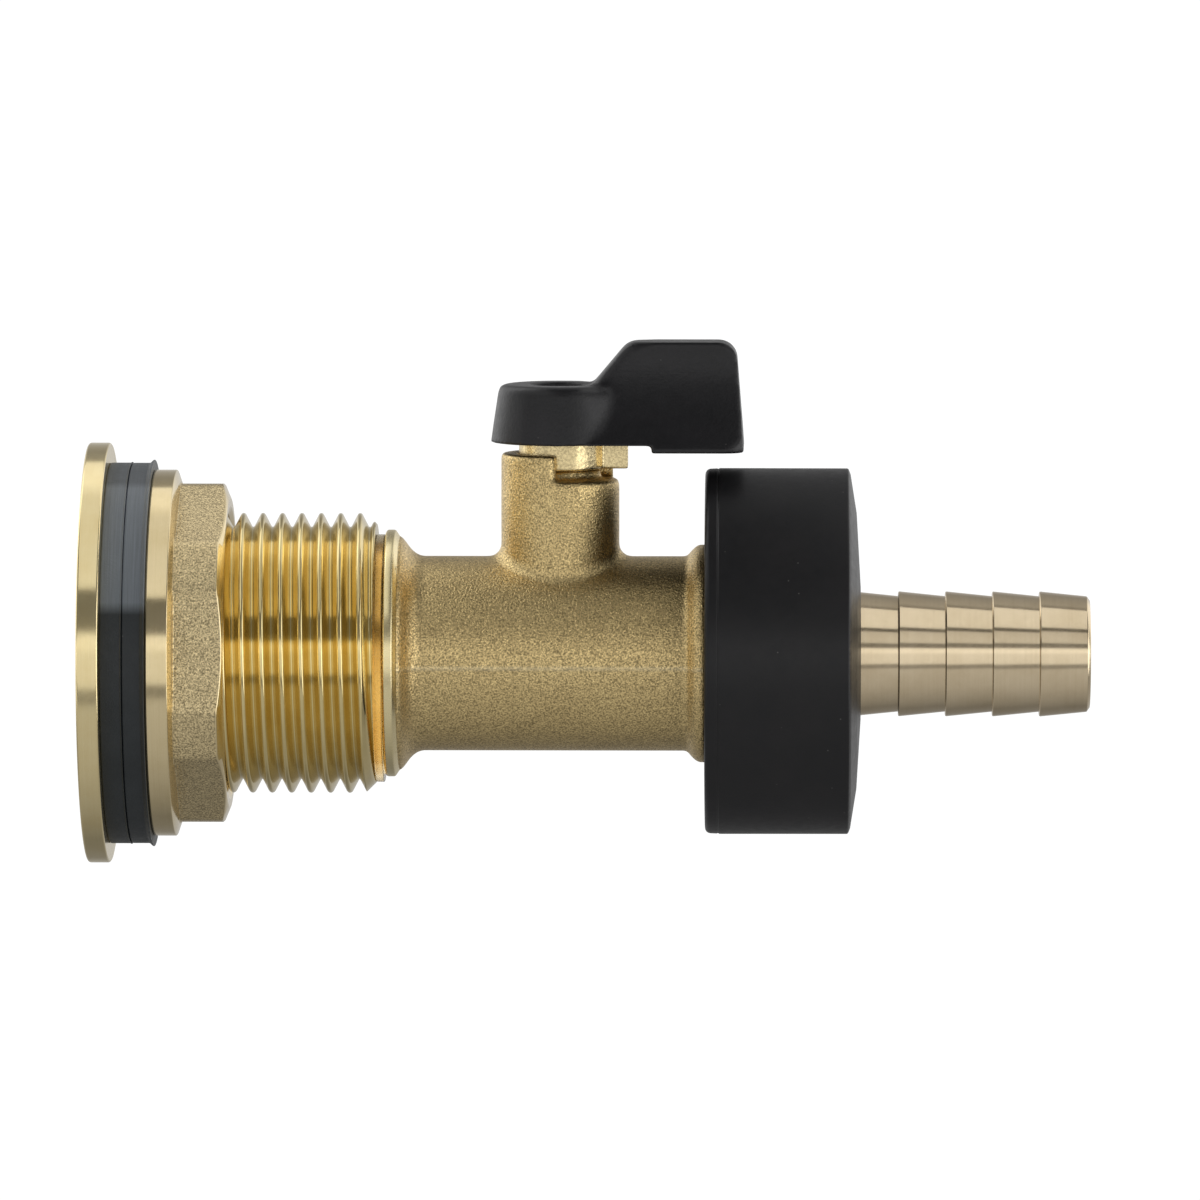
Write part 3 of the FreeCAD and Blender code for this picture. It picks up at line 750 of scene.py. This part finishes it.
def true_body(p):
    """Makes the cast body's tube, shoulder, bead and tower round again after the remesh."""
    r = math.hypot(p.y, p.z)
    away = math.hypot(p.x - VALVE_X, p.y)
    if COLLAR_END + 0.15 < p.x < RELIEF_START - 0.4 and r > TUBE_R - 0.95:
        want = along(SHOULDER if p.x < VALVE_X else BEAD, p.x)
        share = smoothstep(away, TOWER_R + 1.6, TOWER_R + 2.8) if p.z > 0 else 1.0
        if abs(r - want) < 0.75:
            grow = 1 + (want / r - 1) * share
            return (p.x, p.y * grow, p.z * grow)
    if TOWER_FOOT_Z < p.z < SHELF_Z - 0.9 and abs(away - TOWER_R) < 0.3:
        share = smoothstep(p.z, TOWER_FOOT_Z, TOWER_FOOT_Z + 1)
        share *= 1 - smoothstep(p.z, SHELF_Z - 1.5, SHELF_Z - 0.9)
        grow = 1 + (TOWER_R / away - 1) * share
        return (VALVE_X + (p.x - VALVE_X) * grow, p.y * grow, p.z)
    return p


HUB_BOTTOM_Z, HUB_EDGE_DROP = 25.6, 0.18


def handle_softness(p):
    """Where the lever flares out of the hub, the moulding is blended more."""
    x = p.x - VALVE_X
    off_centre = smoothstep(abs(p.y), 1.5, 3.5)
    flare = smoothstep(x, 2.0, 4.5) * (1 - smoothstep(x, 9.0, 11.5))
    return off_centre * flare * smoothstep(p.z, HUB_BOTTOM_Z, HUB_BOTTOM_Z + 1)


def lower_rim(p):
    """The moulding's lower edge hides the top of the stop plate."""
    return (p.x, p.y, p.z - HUB_EDGE_DROP * (1 - smoothstep(p.z, HUB_BOTTOM_Z, HUB_BOTTOM_Z + 1.9)))


tap_body = remeshed("tap_body_cast", copied("tap_body", CAST_SPAN), voxel=0.3, smoothing=5, shape=true_body)
stand_in(tap_body, "tap_body", material="cast_brass", body="tap")
handle = remeshed("handle_moulded", copied("handle"), voxel=0.21, smoothing=9, soft=(handle_softness, 90),
                  shape=lower_rim)
stand_in(handle, "handle", material="handle_plastic", body="spindle")
stop_plate = remeshed("stop_plate_cast", copied("stop_plate"), voxel=0.12, smoothing=9)
stand_in(stop_plate, "stop_plate", material="plate_brass", body="spindle")


# CAD nodes that are shown as they are, with rounded edges

FINISH = {
    "hosetail_washer": "rubber",
    "handle_screw": "steel",
    "screw_washer": "steel",
    "ball": "chrome",
    "inlet_seat": "seat_plastic",
    "outlet_seat": "seat_plastic",
    "seat_retainer": "turned_brass",
    "stem": "turned_brass",
    "stem_thrust_washer": "seat_plastic",
    "stem_o_ring_lower": "rubber",
    "stem_o_ring_upper": "rubber",
}
EDGE_ROUNDING = 0.06


def rounded_off(node, finish):
    node.data.materials.clear()
    node.data.materials.append(MATERIALS[finish])
    weld = node.modifiers.new("weld", "WELD")
    weld.merge_threshold = 0.002 * MM
    bevel = node.modifiers.new("rounding", "BEVEL")
    bevel.width = EDGE_ROUNDING * MM
    bevel.segments = 2
    bevel.limit_method = "ANGLE"
    bevel.angle_limit = math.radians(25)
    bevel.harden_normals = True
    for face in node.data.polygons:
        face.use_smooth = True


for node_name, finish in FINISH.items():
    rounded_off(nodes[node_name], finish)


# Floor, studio light and camera, in metres

PAPER_WHITE = 1.05
FLOOR_Z = -0.9
CENTRE = Vector((0.055, 0, 0))


def pale_floor():
    """A white floor far below the tap, which lights nothing and shows in no reflection."""
    s = Shader("pale_floor")
    s.set("Base Color", (0, 0, 0))
    s.set("Roughness", 1.0)
    s.set("Specular IOR Level", 0.0)
    s.set("Emission Color", (1, 1, 1))
    s.set("Emission Strength", PAPER_WHITE)
    mesh = bpy.data.meshes.new("floor")
    corners = [(-40, -40, FLOOR_Z), (40, -40, FLOOR_Z), (40, 90, FLOOR_Z), (-40, 90, FLOOR_Z)]
    mesh.from_pydata(corners, [], [(0, 1, 2, 3)])
    mesh.materials.append(s.material)
    floor = bpy.data.objects.new("floor", mesh)
    scene.collection.objects.link(floor)
    floor.visible_glossy = floor.visible_diffuse = floor.visible_shadow = False
    return floor


pale_floor()

# How bright the room is round the X axis: degrees up from the front, over the top to the back
ROOM = (
    (-180, 0.65), (-166, 0.4), (-150, 0.22), (-120, 0.18), (-90, 0.30), (-60, 0.42), (-25, 0.50), (-22, 0.26),
    (-16, 0.26), (-14, 0.78), (4, 0.80), (8, 1.0), (15, 1.0), (17, 0.20), (33, 0.18), (60, 0.09), (100, 0.09),
    (112, 0.36), (150, 0.26), (168, 0.4), (180, 0.65),
)
SIDE_GLOW = 0.7


def room_ramp(w, back, up):
    """The room's brightness by the angle round the X axis."""
    turn = w.math("ARCTAN2", up, w.math("MULTIPLY", back, -1.0))
    ramp = w.add("ValToRGB")
    w.put(ramp.inputs[0], w.math("ADD", w.math("DIVIDE", turn, math.tau), 0.5))
    stops = ramp.color_ramp.elements
    for degrees, _ in ROOM[1:-1]:
        stops.new(degrees / 360 + 0.5)
    for stop, (_, level) in zip(stops, ROOM):
        stop.color = (level, level, level, 1)
    return ramp.outputs[0]


def side_glow(w, aside, back, up):
    """Behind the tap it is bright to both sides, and dimmer lower down."""
    off_axis = w.math("ABSOLUTE", aside)
    near_side = w.math("MULTIPLY", w.math("MAXIMUM", w.math("SUBTRACT", off_axis, 0.2), 0.0), 2.2)
    far_side = w.math("MULTIPLY", w.math("MAXIMUM", w.math("SUBTRACT", 0.9, off_axis), 0.0), 8.0)
    behind = w.spread(back, 0.0, 0.25)
    above = w.math("MAXIMUM", w.spread(up, -0.15, 0.05), 0.15)
    glow = w.math("MINIMUM", w.math("MULTIPLY", w.math("MINIMUM", near_side, far_side), behind), SIDE_GLOW)
    return w.math("MULTIPLY", glow, above)


def light_room():
    """The camera sees plain white; everything else is lit by the room."""
    world = scene.world or bpy.data.worlds.new("studio")
    scene.world = world
    world.use_nodes = True
    world.node_tree.nodes.clear()
    w = Nodes(world.node_tree)
    split = w.add("SeparateXYZ")
    w.put(split.inputs[0], w.add("TexCoord").outputs["Generated"])
    aside, back, up = split.outputs
    room = w.add("Background")
    w.put(room.inputs["Color"], w.mix(1.0, room_ramp(w, back, up), side_glow(w, aside, back, up), "ADD"))
    seen = w.add("Background")
    w.put(seen.inputs["Color"], (1, 1, 1))
    w.put(seen.inputs["Strength"], PAPER_WHITE)
    mixer = w.add("MixShader")
    w.put(mixer.inputs[0], w.add("LightPath").outputs["Is Camera Ray"])
    w.put(mixer.inputs[1], room.outputs[0])
    w.put(mixer.inputs[2], seen.outputs[0])
    w.put(w.add("OutputWorld").inputs[0], mixer.outputs[0])


light_room()


def aimed(made, place, target):
    """Puts a lamp or camera at a place, facing its target."""
    made.location = place
    made.rotation_mode = "QUATERNION"
    made.rotation_quaternion = (Vector(target) - Vector(place)).to_track_quat("-Z", "Y")
    scene.collection.objects.link(made)


def softbox(name, place, target, size, radiance):
    """An area light of that radiance, facing its target."""
    data = bpy.data.lights.new(name, "AREA")
    data.shape = "RECTANGLE"
    data.size, data.size_y = size
    data.energy = radiance * math.pi * size[0] * size[1]
    lamp = bpy.data.objects.new(name, data)
    lamp.visible_camera = False
    aimed(lamp, place, target)


def around(azimuth, elevation, distance):
    """A place round the tap; azimuth is to the right of the camera's direction."""
    a, e = math.radians(azimuth), math.radians(elevation)
    return CENTRE + distance * Vector((math.sin(a) * math.cos(e), -math.cos(a) * math.cos(e), math.sin(e)))


softbox("left_top", (-0.014, -0.0315, 0.095), (-0.014, -0.03151, 0), (0.092, 0.187), 0.68)
softbox("tail_top", (0.115, -0.0225, 0.0975), (0.115, 0, 0), (0.054, 0.083), 0.72)
softbox("tail_front", (0.115, -0.081, 0.059), (0.115, 0, 0), (0.054, 0.040), 0.46)
softbox("right_box", around(80, 4, 1.1), CENTRE, (1.3, 0.9), 1.2)
softbox("left_box", around(-100, 10, 1.0), CENTRE, (1.1, 0.9), 0.6)

LENS, SENSOR_WIDTH = 309.5, 36
CAMERA_PLACE, CAMERA_TARGET = (0.0769, -1.22, 0.111), (0.0555, 0, 0.00635)

camera_data = bpy.data.cameras.new("camera")
camera_data.lens = LENS
camera_data.sensor_width = SENSOR_WIDTH
camera_data.clip_end = 100
camera = bpy.data.objects.new("camera", camera_data)
aimed(camera, CAMERA_PLACE, CAMERA_TARGET)
scene.camera = camera

scene.view_settings.view_transform = "Standard"
scene.view_settings.look = "None"
